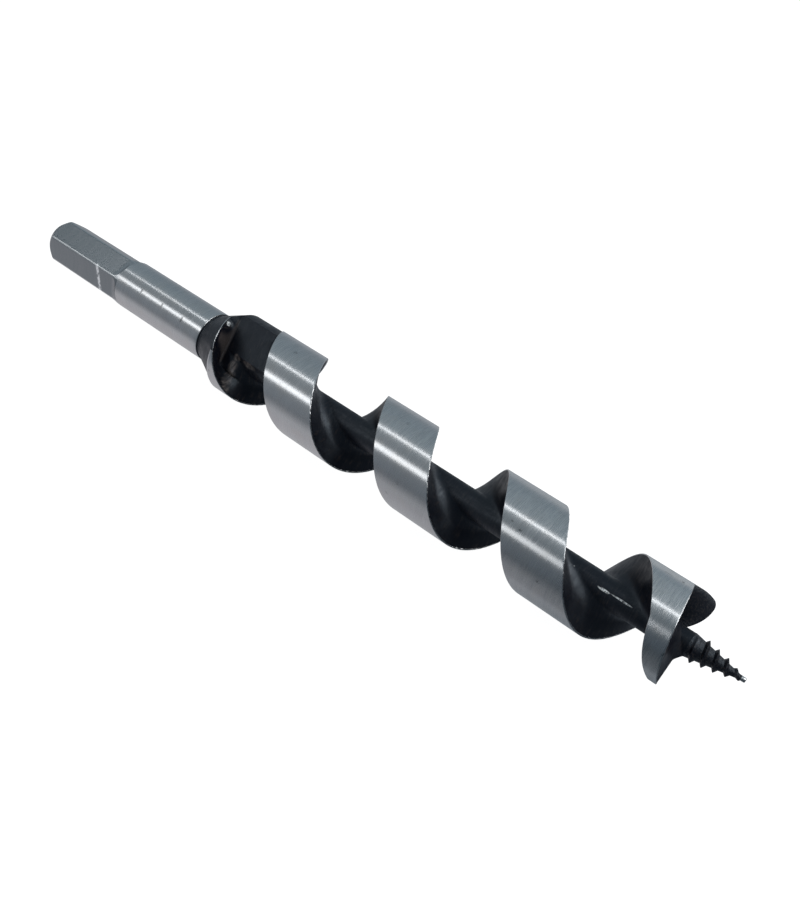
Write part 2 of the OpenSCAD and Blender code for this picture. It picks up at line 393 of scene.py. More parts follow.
def bright_steel(name, arcs=False):
    """Steel ground bright: fine rings of grain, scratches and a few dark nicks.

    With arcs it is the milled hex instead: cutter arcs, bright corner strips, painted light on the
    run-out of the flats and one painted glint.
    """
    t, bsdf, mat = new_material(name)
    at, x, y, z = t.point()
    if arcs:
        turn = t.math("ARCTAN2", z, y)
        # painted light: past the hex the run-out is lightened against the shade that falls in it,
        # on all flats but the lower one towards -Y
        past_hex = t.span(x, HEX_LEN + 0.2, HEX_LEN + 1.5)
        run_out = t.math("MULTIPLY", past_hex, t.span(y, -4.2, -3.7))
        share = t.math("ADD", t.math("DIVIDE", turn, math.radians(60)), 6 - HEX_ANGLE / 60)
        local = t.math("SUBTRACT", t.math("FRACT", share), 0.5)
        across = t.math("MULTIPLY", local, 6.2)
        bow = t.math("MULTIPLY", t.math("MULTIPLY", across, across), 0.11)
        band = t.math("SUBTRACT", t.math("ADD", x, t.math("MULTIPLY", z, 0.27)), GLINT_X)
        glint = t.span(t.math("ABSOLUTE", band), 0.8, 0.15)
        glint = t.math("MULTIPLY", glint, t.span(y, -3.4, -4.3))
        glint = t.math("MULTIPLY", glint, t.span(t.noise(at, 1.5, 3.0, 0.7), 0.38, 0.52))
        corner = t.span(t.math("ABSOLUTE", local), 0.455, 0.478)
        corner = t.math("MULTIPLY", corner, t.span(x, 1.0, 2.2))
        x = t.math("ADD", x, bow)
    parts = {0: x, 1: t.math("MULTIPLY", y, 0.05), 2: t.math("MULTIPLY", z, 0.05)}
    grain = t.add("CombineXYZ", parts).outputs[0]
    fine = t.noise(grain, 1.5, 1.0) if arcs else t.noise(grain, 5.5, 3.0, 0.65)
    broad = t.noise(grain, 0.9, 2.0)
    cloud = t.noise(at, 0.35, 3.0)
    bend = t.add("TexNoise", {"Vector": at, "Scale": 0.4}).outputs[1]
    warped = t.vector("ADD", at, t.vector("SCALE", bend, 2.0)[0])[0]
    scratch = t.line(warped, 0.7, 0.006)
    scratch = t.math("MULTIPLY", scratch, t.span(t.noise(at, 0.9), 0.56, 0.62))
    cells = t.add("TexVoronoi", {"Vector": at, "Scale": 0.23, "Randomness": 1.0})
    nick = t.span(cells.outputs["Distance"], 0.16, 0.05)
    nick = t.math("MULTIPLY", nick, t.span(t.noise(at, 4.0), 0.42, 0.6))
    low, high = (MILLED_LOW, MILLED_HIGH) if arcs else (GROUND_LOW, GROUND_HIGH)
    tone = t.mix(t.span(fine, 0.3, 0.72), low, high)
    if arcs:
        # painted light on the run-out
        tone = t.mix(run_out, tone, RUN_OUT_PAINTED_LIGHT)
        tone = t.mix(corner, tone, CORNER_TONE)
        tone = t.mix(glint, tone, GLINT_TONE)
        nick = t.math("MULTIPLY", nick, 0.2)
    else:
        nick = t.math("MAXIMUM", nick, t.marks(at, TICKS))
        tone = t.mix(t.span(broad, 0.35, 0.7, 0.0, 0.3), tone, GROUND_DULL)
        tone = t.mix(t.span(cloud, 0.45, 0.7, 0.0, 0.35), tone, GROUND_WARM)
    tone = t.mix(t.math("MULTIPLY", nick, 0.8), tone, NICK_TONE)
    t.tree.links.new(tone, bsdf.inputs["Base Color"])
    bsdf.inputs["Metallic"].default_value = 1.0
    rough = t.span(fine, 0.25, 0.75, 0.275 if arcs else 0.25, 0.29 if arcs else 0.31)
    rough = t.math("ADD", rough, t.math("MULTIPLY", scratch, -0.05))
    t.tree.links.new(rough, bsdf.inputs["Roughness"])
    bsdf.inputs["Anisotropic"].default_value = 0.3 if arcs else 0.78
    bsdf.inputs["Anisotropic Rotation"].default_value = 0.25
    ring = t.add("Tangent", direction_type="RADIAL", axis="X").outputs[0]
    t.tree.links.new(ring, bsdf.inputs["Tangent"])
    height = t.math("ADD", t.math("MULTIPLY", fine, 0.5), t.math("MULTIPLY", broad, 0.6))
    height = t.math("SUBTRACT", height, t.math("MULTIPLY", scratch, 0.35))
    height = t.math("SUBTRACT", height, t.math("MULTIPLY", nick, 1.5))
    depth = 0.0000006 if arcs else 0.00001
    bump = t.add("Bump", {"Strength": 0.5, "Distance": depth, "Height": height})
    t.tree.links.new(bump.outputs[0], bsdf.inputs["Normal"])
    return mat


def black_steel(name, forged=False):
    """Black oxide: satin, with tooling streaks that run along the flute, or forged mottling. Pale
    marks are painted glints and highlights, and one real chip of bare metal.
    """
    t, bsdf, mat = new_material(name)
    at, x = t.point()[:2]
    turn = t.math("MULTIPLY", x, -2 * math.pi / PITCH)
    wound = t.add("VectorRotate", {"Vector": at, "Angle": turn}, rotation_type="X_AXIS")
    wound = wound.outputs[0]
    streak = t.noise(t.vector("MULTIPLY", wound, (1.0, 0.1, 0.1))[0], 3.6, 4.0, 0.7)
    wide = t.noise(t.vector("MULTIPLY", wound, (0.12, 1.0, 1.0))[0], 0.7, 2.0)
    cloud = t.noise(at, 0.5, 4.0, 0.6)
    speck = t.noise(at, 3.0, 3.0, 0.6)
    if forged:
        specks = t.math("MULTIPLY", t.span(speck, 0.48, 0.7), 0.75)
        tone = t.mix(specks, OXIDE_DARK, OXIDE_LIGHT)
        rough = t.span(speck, 0.3, 0.7, 0.38, 0.54)
        height = t.math("ADD", t.math("MULTIPLY", speck, 1.0), t.math("MULTIPLY", cloud, 1.5))
        depth = 0.00018
    else:
        brown = t.math("MULTIPLY", t.span(streak, 0.48, 0.72), t.span(wide, 0.35, 0.65, 0.25, 1.0))
        tone = t.mix(t.math("MULTIPLY", brown, 0.75), OXIDE_DARK, OXIDE_LIGHT)
        rough = t.span(streak, 0.3, 0.7, 0.45, 0.33)
        rough = t.math("ADD", rough, t.span(cloud, 0.35, 0.65, -0.04, 0.06))
        height = t.math("ADD", streak, t.math("MULTIPLY", speck, 0.25))
        depth = 0.00004
        bsdf.inputs["Anisotropic"].default_value = 0.7
        bsdf.inputs["Anisotropic Rotation"].default_value = 0.0
        ring = t.add("Tangent", direction_type="RADIAL", axis="X").outputs[0]
        t.tree.links.new(ring, bsdf.inputs["Tangent"])
        off_axis = t.vector("MULTIPLY", at, (0, 1, 1))[0]
        round_r = t.vector("LENGTH", off_axis, (0, 0, 0))[1]
        # painted highlight: a soft lighter band along the crease at the start of the flute, where
        # the fillet reflects light
        crease_highlight = t.span(t.math("ABSOLUTE", t.math("SUBTRACT", x, CREASE_X + 0.1)), 0.6, 0.1)
        crease_highlight = t.math("MULTIPLY", crease_highlight, t.span(round_r, 8.6, 8.0))
        tone = t.mix(t.math("MULTIPLY", crease_highlight, 0.7), tone, CREASE_HIGHLIGHT_TONE)
        # painted highlight: the V in the first flute, lighter colour broken up by the tooling
        # streaks
        v_highlight = t.marks(at, FIRST_FLUTE_V_HIGHLIGHT, t.span(streak, 0.4, 0.62, 0.25, 1.0))
        tone = t.mix(v_highlight, tone, V_HIGHLIGHT_TONE)
    # painted glints, and one real chip of bare metal, as pale marks on the black
    glint_and_chip = t.marks(at, GLINTS_AND_CHIP, t.span(speck, 0.4, 0.52))
    tone = t.mix(glint_and_chip, tone, GLINT_AND_CHIP_TONE)
    t.tree.links.new(tone, bsdf.inputs["Base Color"])
    t.tree.links.new(rough, bsdf.inputs["Roughness"])
    bsdf.inputs["Specular IOR Level"].default_value = 0.45
    bsdf.inputs["Specular Tint"].default_value = (0.76, 0.88, 1.0, 1)
    bump = t.add("Bump", {"Strength": 0.5, "Distance": depth, "Height": height})
    t.tree.links.new(bump.outputs[0], bsdf.inputs["Normal"])
    return mat


BRIGHT = bright_steel("bright_steel_ground")
MILLED = bright_steel("bright_steel_milled", arcs=True)
BLACK = black_steel("black_steel_flute")
FORGED = black_steel("black_steel_forged", forged=True)

# ---------------------------------------------------------------- hex drive and shank
HALF_FLAT = [0, 0.2, 0.4, 0.6, 0.75, 0.86, 0.93, 0.965, 0.985, 1.0]
HALF_STRIP = [0.2, 0.45, 0.7, 1.0]
EDGE_ROUND = 0.05
RIM_ROUND = 0.06
RIM_ROUND_LEN = 0.3


def hex_outer(x):
    """Radius of the round bar at the hex's corners, with the chamfered end."""
    end_r = SHANK_R - CORNER_TAPER
    chamfer = end_r - END_CHAMFER_DEPTH * (1 - x / END_CHAMFER_LEN)
    taper = end_r + CORNER_TAPER * (x - END_CHAMFER_LEN) / (HEX_END - END_CHAMFER_LEN)
    return smooth_min(chamfer, taper, RIM_ROUND) if x < END_CHAMFER_LEN + RIM_ROUND_LEN else taper


def hex_flat(x):
    """Distance of the flats from the axis: it curves up where the cutter left."""
    past = max(0.0, x - HEX_END + math.sqrt(2 * RUN_OUT_R * (SHANK_R - HEX_HALF)))
    return HEX_HALF + RUN_OUT_R - math.sqrt(max(0.0, RUN_OUT_R**2 - past**2))


def side_angles(edge):
    """Angles of a ring's points over one side: the flat out to its edge, and the strips."""
    half = [edge * s for s in HALF_FLAT] + [edge + (30 - edge) * s for s in HALF_STRIP]
    return [-p for p in reversed(half[1:-1])] + half


def hex_ring(x):
    outer, flat = hex_outer(x), hex_flat(x)
    edge = math.degrees(math.acos(flat / outer)) if flat < outer else 0.0
    ring = []
    run_out = min(1.0, max(0.0, (x - HEX_LEN) / (HEX_END - HEX_LEN)))
    soft = EDGE_ROUND * (1 + 1.5 * math.sin(math.pi * run_out))
    for side in range(6):
        centre = HEX_ANGLE + 30 + 60 * side
        for phi in side_angles(max(edge, 0.02)):
            r = smooth_min(outer, flat / math.cos(math.radians(phi)), soft)
            ring.append(place(x, r, centre + phi))
    return ring


def make_hex():
    skin = Skin()
    run_out = HEX_END - HEX_LEN
    stations = list(np.linspace(0.06, END_CHAMFER_LEN + RIM_ROUND_LEN, 18))
    stations += list(np.linspace(2.6, HEX_LEN, 20))
    stations += [HEX_LEN + run_out * math.sin(math.radians(90 * i / 22)) for i in range(1, 23)]
    rings = []
    face_r = hex_outer(0) - 0.05
    for r in (0.35, 2.0, 3.6, face_r - 0.25, face_r):
        rings.append([place(0.0, r, HEX_ANGLE + 30 + a) for a in ring_angles()])
    rings += [hex_ring(x) for x in stations]
    skin.tube([skin.ring(ring) for ring in rings])
    return skin.build("hex_drive_ground", MILLED, ["hex_drive"], 50)


def ring_angles():
    """Angles of a hex ring's points where it has the edge of the full flats."""
    edge = math.degrees(math.acos(HEX_HALF / (SHANK_R - CORNER_TAPER)))
    return [60 * side + p for side in range(6) for p in side_angles(edge)]


def turned_bar(name, profile, segments, material, nodes):
    """A closed turned shape from a profile of (x, r), flat at both ends."""
    skin = Skin()
    turns = [360 * k / segments for k in range(segments)]
    skin.tube([skin.ring([place(x, r, a) for a in turns]) for x, r in profile])
    return skin.build(name, material, nodes)


BAR_SEGMENTS = 192

make_hex()
shank_profile = [(x, SHANK_R) for x in np.linspace(HEX_END, SHANK_LEN - 0.12, 30)]
shank_profile += [(SHANK_LEN - 0.05, SHANK_R - 0.02), (SHANK_LEN, SHANK_R - 0.07)]
turned_bar("shank_ground", shank_profile, BAR_SEGMENTS, BRIGHT, ["round_shank"])
neck_profile = [
    (SHANK_LEN, NECK_R - 0.06), (SHANK_LEN + 0.12, NECK_R - 0.1), (SHANK_LEN + 0.3, NECK_R - 0.02),
    (SHANK_LEN + 0.45, NECK_R), (SHANK_LEN + 0.65, NECK_R), (NECK_END - 0.1, NECK_R - 0.03),
    (NECK_END, NECK_R - 0.06),
]
turned_bar("neck_band", neck_profile, BAR_SEGMENTS, BLACK, ["neck"])

# ---------------------------------------------------------------- black body of the twist
N_CONE, N_LAND, N_UP, N_LOW, N_FLOOR, N_BACK, N_BOSS = 12, 5, 13, 21, 9, 14, 7
N_WALL = N_UP + N_LOW - 1
A_END = LIP_ANGLE
A_LAST = LIP_ANGLE - 360
STEPS_TO_START = 849
A_FIRST = LIP_ANGLE - STEP * STEPS_TO_START
# from here on the flute's floor is the core alone
A_PLAIN = A_LAST - 900
FILLET_LEN, FILLET_HIGH = 3.6, 2.6
BACK_FILLET = 2.2
UNDERCUT = 0.8
UNDERCUT_SWEEP = 60.0
CREASE_ROUND = 0.3
RELIEF_ROUND = 0.35
FLOOR_ROUND = 0.5
FLOOR_MIN = 1.5
FLOOR_SHARE = 0.77
WALL_OVER = 0.4
WALL_HIGH_MIN = 0.8
WALL_SHARE_MAX = 1.3
FINE_R = 5.5
MIN_GAP = 0.02


def back_wall(a):
    """The wall that faces the shank, from its root to the skin, for the land at a."""
    root = land_x(a) - BACK_FILLET
    low = post_r(root)
    if a - 360 < A_PLAIN:
        low = max(low, min(floor_r(a - 360), SKIN_R - 0.01))
    low = min(low, SKIN_R - 0.005)
    high = min(BACK_FILLET, SKIN_R - low)
    radii = [low + high * (1 - math.cos(math.radians(90 * i / 10))) for i in range(11)]
    radii += list(np.linspace(low + high, SKIN_R, 8))[1:]
    return [(land_x(a) - swell(a, r) - fillet_rise(r, low, high, high), r) for r in radii]


def front_wall(a):
    """The wall that faces the tip, in two parts: down to its foot, then to the floor.

    At the start the foot is a straight crease where the wall cuts the flat, square to the bit;
    a quarter of a turn later it is the regular wall with its wide fillet.
    """
    past = a - FLUTE_ANGLE
    s = smooth_step((past - START_KEPT) / START_BLEND)
    low = floor_r(a)
    flat = START_FLAT / math.cos(math.radians(past)) if abs(past) < FLAT_SWEEP else SKIN_R
    foot_r = max(low, min(flat, CORE_R + FILLET_HIGH)) if past > 0 else low
    edge_x = land_x(a) + LAND_W + run_in(a)
    edge_r = min(cone_r(edge_x), AUGER_R)
    cut = UNDERCUT * smooth_step((A_LAST - a) / UNDERCUT_SWEEP)
    root = land_x(a) + LAND_W + (run_in(a) - cut) * s
    foot = CREASE_X + (root - CREASE_X) * s
    soft = CREASE_ROUND * (1 - s)
    high = max(edge_r - foot_r - soft, WALL_HIGH_MIN)
    upper = []
    # it is drawn past the lands, so that it can be cut where it leaves the cone
    for r in np.linspace(AUGER_R + WALL_OVER, foot_r + soft, 30):
        share = min(WALL_SHARE_MAX, (r - foot_r - soft) / high)
        upper.append((foot + (edge_x - foot) * share, r))
    lower = [upper[-1]]
    if soft > MIN_GAP:
        lower.append((foot + 0.3 * soft, foot_r + 0.3 * soft))
    if past <= 0:
        lower.append((foot + soft, foot_r))
        end = max(root + FILLET_LEN, foot + FLOOR_MIN)
        lower += [(x, foot_r) for x in np.linspace(foot + soft, end, 8)[1:]]
        return upper, lower
    for x in np.linspace(foot + soft, max(root, foot + soft + 0.01), 8):
        lower.append((x, foot_r))
    rise = CORE_R + FILLET_HIGH - low
    for i in range(1, 25):
        t = math.radians(90 * i / 24)
        x, r = root + FILLET_LEN * (1 - math.cos(t)), low + rise * (1 - math.sin(t))
        if x > lower[-1][0] + MIN_GAP:
            lower.append((x, smooth_min(foot_r, r, FLOOR_ROUND * (1 - s) + 0.001)))
    lower[-1] = (lower[-1][0], low)
    return upper, lower


def start_section(a):
    """Cone, then the flute where it is open, up to the middle of the next land."""
    back = back_wall(a + 360)
    mid = land_mid(a + 360)
    if a - FLUTE_ANGLE <= -FLAT_SWEEP + 0.5:
        # no flute here: the same parts lie flat on the skin
        edge = max(back[-1][0], RIM_X + 1.6)
        cross = RIM_X
        upper = [(cross, SKIN_R), (cross + 0.1, SKIN_R)]
        lower = [(cross + 0.1, SKIN_R), (cross + 0.4, SKIN_R)]
        back = [(edge - 0.4, SKIN_R), (edge, SKIN_R)]
    else:
        # the wall starts where it passes through the cone
        upper, lower = front_wall(a)
        line = upper + lower[1:] + [back[0]]
        cut = next(i for i, (x, r) in enumerate(line) if r < outer_r(x))
        (x0, r0), (x1, r1) = line[cut - 1], line[cut]
        over, under = r0 - outer_r(x0), outer_r(x1) - r1
        t = over / (over + under)
        start = (x0 + (x1 - x0) * t, r0 + (r1 - r0) * t)
        cross = start[0]
        if cut < len(upper):
            upper = [start] + upper[cut:]
        else:
            rest = line[cut:-1] or [(cross + 0.3, floor_r(a))]
            upper = [start, (start[0] + 0.05, start[1])]
            lower = [upper[-1]] + [q for q in rest if q[0] > start[0] + 0.06]
            if len(lower) < 2:
                lower.append((start[0] + 0.3, floor_r(a)))
    x_c = min(CONE_END, cross - 0.5)
    cone = [(NECK_END, outer_r(NECK_END)), (x_c, outer_r(x_c))]
    land = [(x, outer_r(x)) for x in np.linspace(x_c, cross, 12)]
    floor = [lower[-1], back[0]]
    parts = [
        resample(cone, N_CONE), resample(land, N_LAND), resample(upper, N_UP),
        resample(lower, N_LOW), resample(floor, N_FLOOR), resample(back, N_BACK),
        resample([back[-1], (mid, SKIN_R)], N_LAND),
    ]
    return np.vstack([parts[0]] + [p[1:] for p in parts[1:]])


def flute_section(a):
    """From the middle of one land, through the flute, to the middle of the next."""
    upper, lower = front_wall(a)
    upper = [p for p in upper if p[1] <= SKIN_R]
    upper = [(upper[0][0], SKIN_R)] + upper
    back = back_wall(a + 360)
    x0, x1 = lower[-1][0], back[0][0]
    floor = [(x, min(floor_r(a), post_r(x))) for x in np.linspace(x0, x1, 40)]
    parts = [
        resample([(land_mid(a), SKIN_R), upper[0]], N_LAND), resample(upper, N_UP),
        resample(lower, N_LOW), resample(floor, N_FLOOR), resample(back, N_BACK),
        resample([back[-1], (land_mid(a + 360), SKIN_R)], N_LAND),
    ]
    return np.vstack([parts[0]] + [p[1:] for p in parts[1:]])


def tip_face_x(a, r):
    """The face towards the tip: the wall of the land, then the relief behind the lip."""
    wall = land_x(a) + LAND_W + fillet_rise(r, CORE_R, FILLET_LEN, FILLET_HIGH)
    rise = BOSS_RISE * max(0.0, (BOSS_R + BOSS_FILLET - r) / BOSS_FILLET) ** BOSS_RISE_POWER
    relief = flank_x(a) + min(rise, BOSS_RISE)
    return smooth_min(wall, relief, RELIEF_ROUND)


def head_section(a):
    """From the middle of the land over the face towards the tip to the end of the boss."""
    wall = []
    for r in np.r_[np.linspace(SKIN_R, FINE_R, 24), np.linspace(FINE_R, BOSS_R, 30)[1:]]:
        x = tip_face_x(a, r)
        if r <= post_r(x) or x >= BOSS_END - 1e-6:
            break
        wall.append((x, r))
    x = min(tip_face_x(a, post_r(wall[-1][0])), BOSS_END)
    wall.append((x, post_r(x)))
    length = BOSS_END - x
    floor_end = x + length * FLOOR_SHARE
    floor = [(t, post_r(t)) for t in np.linspace(x, floor_end, 30)]
    boss = [(t, post_r(t)) for t in np.linspace(floor_end, BOSS_END, 20)]
    parts = [
        resample([(land_mid(a), SKIN_R), wall[0]], N_LAND), resample(wall, N_WALL),
        resample(floor, N_FLOOR) if length > 1e-6 else np.array([wall[-1]] * N_FLOOR),
        resample(boss, N_BOSS) if length > 1e-6 else np.array([wall[-1]] * N_BOSS),
    ]
    return np.vstack([parts[0]] + [p[1:] for p in parts[1:]])


def make_body():
    skin = Skin()
    columns = {}
    firsts = [A_FIRST + STEP * i for i in range(TURN)]
    for a in firsts:
        columns[a] = skin.column(start_section(a), a)
    a = A_FIRST + 360
    while a <= A_LAST + 1e-6:
        section = flute_section(a)
        shared = columns[a - 360][-1]
        columns[a] = [shared] + skin.column(section[1:], a)
        a += STEP
    for one, two in zip(firsts, firsts[1:]):
        skin.join(columns[one], columns[two])
    # the first turn meets the second: a seam on the plain cone and skin, then equal counts
    last, nxt = columns[firsts[-1]], columns[A_FIRST + 360]
    cut = N_CONE + N_LAND - 2
    skin.zip_up(last[: cut + 1], columns[A_FIRST] + nxt[1:N_LAND])
    skin.join(last[cut:], nxt[N_LAND - 1:])
    a = A_FIRST + 360
    while a < A_LAST - 1e-6:
        skin.join(columns[a], columns[a + STEP])
        a += STEP
    # the head: the flute stays open to the tip
    plain = columns[A_LAST]
    keep = N_LAND + N_WALL + N_FLOOR - 2
    root = skin.points[plain[keep - 1]][0]
    boss = [(x, post_r(x)) for x in np.linspace(root, BOSS_END, 20)]
    heads = {A_LAST: plain[:keep] + skin.column(resample(boss, N_BOSS)[1:], A_LAST)}
    a = A_LAST + STEP
    while a <= A_END + 1e-6:
        section = head_section(a)
        heads[a] = [columns[a - 360][-1]] + skin.column(section[1:], a)
        a += STEP
    tail = heads[A_LAST][-1]
    start = N_LAND + N_WALL - 2
    heads[A_END] = heads[A_END][:start] + [tail] * (len(heads[A_END]) - start)
    a = A_LAST
    while a < A_END - 1e-6:
        skin.join(heads[a], heads[a + STEP])
        a += STEP
    lip = plain[keep - 1:] + heads[A_END][1:start + 1] + heads[A_LAST][keep:-1][::-1]
    skin.faces.append(lip)
    skin.faces.append([columns[a][0] for a in firsts])
    skin.faces.append([heads[A_LAST + STEP * i][-1] for i in range(TURN)][::-1])
    nodes = ["shoulder", "core", "flight_1", "flight_2", "flight_3", "main_cutter", "screw_boss"]
    return skin.build("flight_black", BLACK, nodes)


make_body()

# ---------------------------------------------------------------- bright ground lands
LAND_STEP = 1.0
LAND_START = 4.0
LAND_TOP = AUGER_R - 0.015
LAND_BOTTOM = 9.5
LAND_BEVEL = 0.06
LAND_HOLD = 0.15
LAND_INSET = 0.3
JAG_STEP = 0.35


def wobble(*place_in_noise):
    return noise.noise(Vector(place_in_noise))


def make_lands():
    """One closed ribbon round the bit: flat top, ragged edge to the tip, rim on the cone."""
    skin = Skin()
    first = LIP_ANGLE - LAND_STEP * math.floor((LIP_ANGLE - FLUTE_ANGLE - LAND_START) / LAND_STEP)
    count = int(round((A_END - first) / LAND_STEP))
    rings = []
    for i in range(count + 1):
        a = first + LAND_STEP * i
        x1 = edge_shank(a)
        on_cone = smooth_step((CONE_END - x1 + 0.3) / 0.6)
        x1 = max(CONE_END, x1)
        x2 = max(edge_tip(a), x1 + 0.05)
        w = x2 - x1
        e = min(LAND_BEVEL, w / 5)
        hold, inset = min(LAND_HOLD, w / 5), min(LAND_INSET, w / 3)
        s = i * JAG_STEP
        jag = wobble(s, 3.1, 0) + 0.5 * wobble(s * 3.1, 9.7, 0)
        low = SKIN_R - 0.06 + 0.1 * wobble(s * 0.8, 5.5, 2.0)
        # a point is held near the edge, so that the jags don't bend the highlight on top
        ring = [(x, LAND_TOP) for x in np.linspace(x1 + e, x2 - e - hold, 7)]
        ring += [
            (x2 - e, LAND_TOP),
            (x2 + 0.02 + 0.05 * jag, LAND_TOP - 0.03), (x2 + 0.09 + 0.09 * jag, LAND_TOP - 0.16),
            (x2 + 0.03, low - 0.05),
            (x2 - inset, LAND_BOTTOM), (x1 + inset, LAND_BOTTOM),
            (x1 - 0.01 + (RIM_X - x1) * on_cone, SKIN_R), (x1, LAND_TOP - 0.05 * (1 - on_cone)),
        ]
        rings.append(skin.column(ring, a))
    skin.tube(rings)
    return skin.build("ground_lands", BRIGHT, [])


make_lands()

BURR_FIRST = -61.0
BURR_STEP = 0.6
BURR_RINGS = 112
BURR_R = 0.1


def make_burr():
    """The thin bright edge where the flute breaks out through the cone."""
    skin = Skin()
    rings = []
    for i in range(BURR_RINGS):
        a = FLUTE_ANGLE + BURR_FIRST + BURR_STEP * i
        x, r = start_section(a)[N_CONE + N_LAND - 2]
        wave = wobble(i * 0.31, 1.7, 4.0) + 0.6 * wobble(i * 0.9, 8.1, 0.5)
        ends = min(1.0, 0.15 + i / 8, 0.15 + (BURR_RINGS - 1 - i) / 8)
        size = (BURR_R + 0.03 * wave) * ends
        ring = []
        for k in range(8):
            t = math.radians(45 * k)
            ring.append((x + size * math.cos(t), r - 0.03 + size * math.sin(t)))
        rings.append(skin.column(ring, a))
    skin.tube(rings)
    return skin.build("flute_burr", BRIGHT, [])


make_burr()

# ---------------------------------------------------------------- spur
SPUR_BEFORE, SPUR_AFTER = 46.0, 38.0
SPUR_FALL_BEFORE, SPUR_FALL_AFTER = 56.0, 46.0
SPUR_ROUND = 1.5
SPUR_FOOT_SINK = 0.15
SPUR_BASE_SINK = 0.6


def spur_crest_x(r):
    """The spur's edge, highest near the rim and dished towards the screw."""
    away = (r - SPUR_CREST_R) / (SPUR_CREST_R - CORE_R)
    corner = max(0.0, (r - SPUR_CREST_R) / (AUGER_R - SPUR_CREST_R))
    return LIP_X + SPUR_REACH - SPUR_DISH * away**2 - SPUR_CORNER * corner**3


def spur_x(a, r):
    """The spur's surface, which falls away to both sides of its edge."""
    off = a - SPUR_ANGLE
    slope = SPUR_FALL_AFTER if off > 0 else SPUR_FALL_BEFORE
    soft = math.sqrt(off * off + SPUR_ROUND**2) - SPUR_ROUND
    return spur_crest_x(r) - slope * soft / 360


def make_spur():
    skin = Skin()
    rings = []
    radii = np.linspace(BOSS_R - 0.2, AUGER_R - 0.03, 34)
    for a in np.arange(SPUR_ANGLE - SPUR_BEFORE, SPUR_ANGLE + SPUR_AFTER + 0.1, 1.0):
        ring = [(max(spur_x(a, r), tip_face_x(a, r) - SPUR_FOOT_SINK), r) for r in radii]
        ring += [(tip_face_x(a, r) - SPUR_BASE_SINK, r) for r in radii[::-1]]
        rings.append(skin.column(ring, a))
    skin.tube(rings)
    return skin.build("spur_forged", FORGED, ["spur_cutter"])


make_spur()

# ---------------------------------------------------------------- lead screw
def root_r(x):
    return max(POINT_R, BOSS_R + (POINT_R - BOSS_R) * (x - BOSS_END) / SCREW_LEN)


def screw_r(x, angle):
    """Radius of the screw with its thread, which fades in and out at the ends."""
    root = root_r(x)
    best = 0.0
    base = (angle - THREAD_ANGLE) % 360
    for k in range(6):
        a = base + 360 * k
        if a > 360 * THREAD_TURNS:
            break
        crest = BOSS_END + THREAD_W / 2 + SCREW_PITCH * a / 360
        off = (x - crest - THREAD_SHIFT) / (THREAD_W / 2)
        if abs(off) < THREAD_FOOT:
            begin = THREAD_FIRST_SHARE + a / THREAD_RISE_SWEEP
            end = THREAD_LAST_SHARE + 2 * (1 - a / (360 * THREAD_TURNS))
            rise = THREAD_H * min(1.0, begin, end)
            best = max(best, rise * (1 - abs(off) / THREAD_FOOT) ** THREAD_CURVE)
    return root + best


SCREW_SEGMENTS = 120
TIP_SEGMENTS = 48


def make_screw():
    skin = Skin()
    turns = [360 * k / SCREW_SEGMENTS for k in range(SCREW_SEGMENTS)]
    stations = np.arange(BOSS_END - 0.3, SCREW_END + 0.45, 0.05)
    skin.tube([skin.ring([place(x, screw_r(x, a), a) for a in turns]) for x in stations])
    return skin.build("lead_screw", FORGED, ["screw_root", "screw_thread"], 70)


make_screw()
tip_profile = [
    (SCREW_END + 0.05, POINT_R - 0.01), (SCREW_END + 0.4, POINT_R), (TIP_X - 0.22, POINT_R),
    (TIP_X - 0.1, POINT_R - 0.05), (TIP_X - 0.02, POINT_R - 0.14), (TIP_X, POINT_R - 0.22),
]
turned_bar("screw_tip", tip_profile, TIP_SEGMENTS, BRIGHT, ["screw_point"])

# ---------------------------------------------------------------- floor, light, camera
bpy.context.scene.view_settings.view_transform = "Standard"
FLOOR_HALF = 3.0
FLOOR_Z = -AUGER_R * MM
FLOOR_TONE = (0.2, 0.2, 0.2, 1)
FLOOR_GLOW = 0.96
floor_mesh = bpy.data.meshes.new("floor")
corners = [(-1, -1), (1, -1), (1, 1), (-1, 1)]
floor_mesh.from_pydata(
    [(x * FLOOR_HALF, y * FLOOR_HALF, FLOOR_Z) for x, y in corners], [], [(0, 1, 2, 3)]
)
floor = bpy.data.objects.new("floor", floor_mesh)
bpy.context.scene.collection.objects.link(floor)
floor_mat = bpy.data.materials.new("pale_floor")
floor_mat.use_nodes = True
fb = floor_mat.node_tree.nodes["Principled BSDF"]
fb.inputs["Base Color"].default_value = FLOOR_TONE
fb.inputs["Roughness"].default_value = 1.0
fb.inputs["Specular IOR Level"].default_value = 0.0
fb.inputs["Emission Color"].default_value = (1, 1, 1, 1)
fb.inputs["Emission Strength"].default_value = FLOOR_GLOW
floor.data.materials.append(floor_mat)
floor.visible_glossy = False

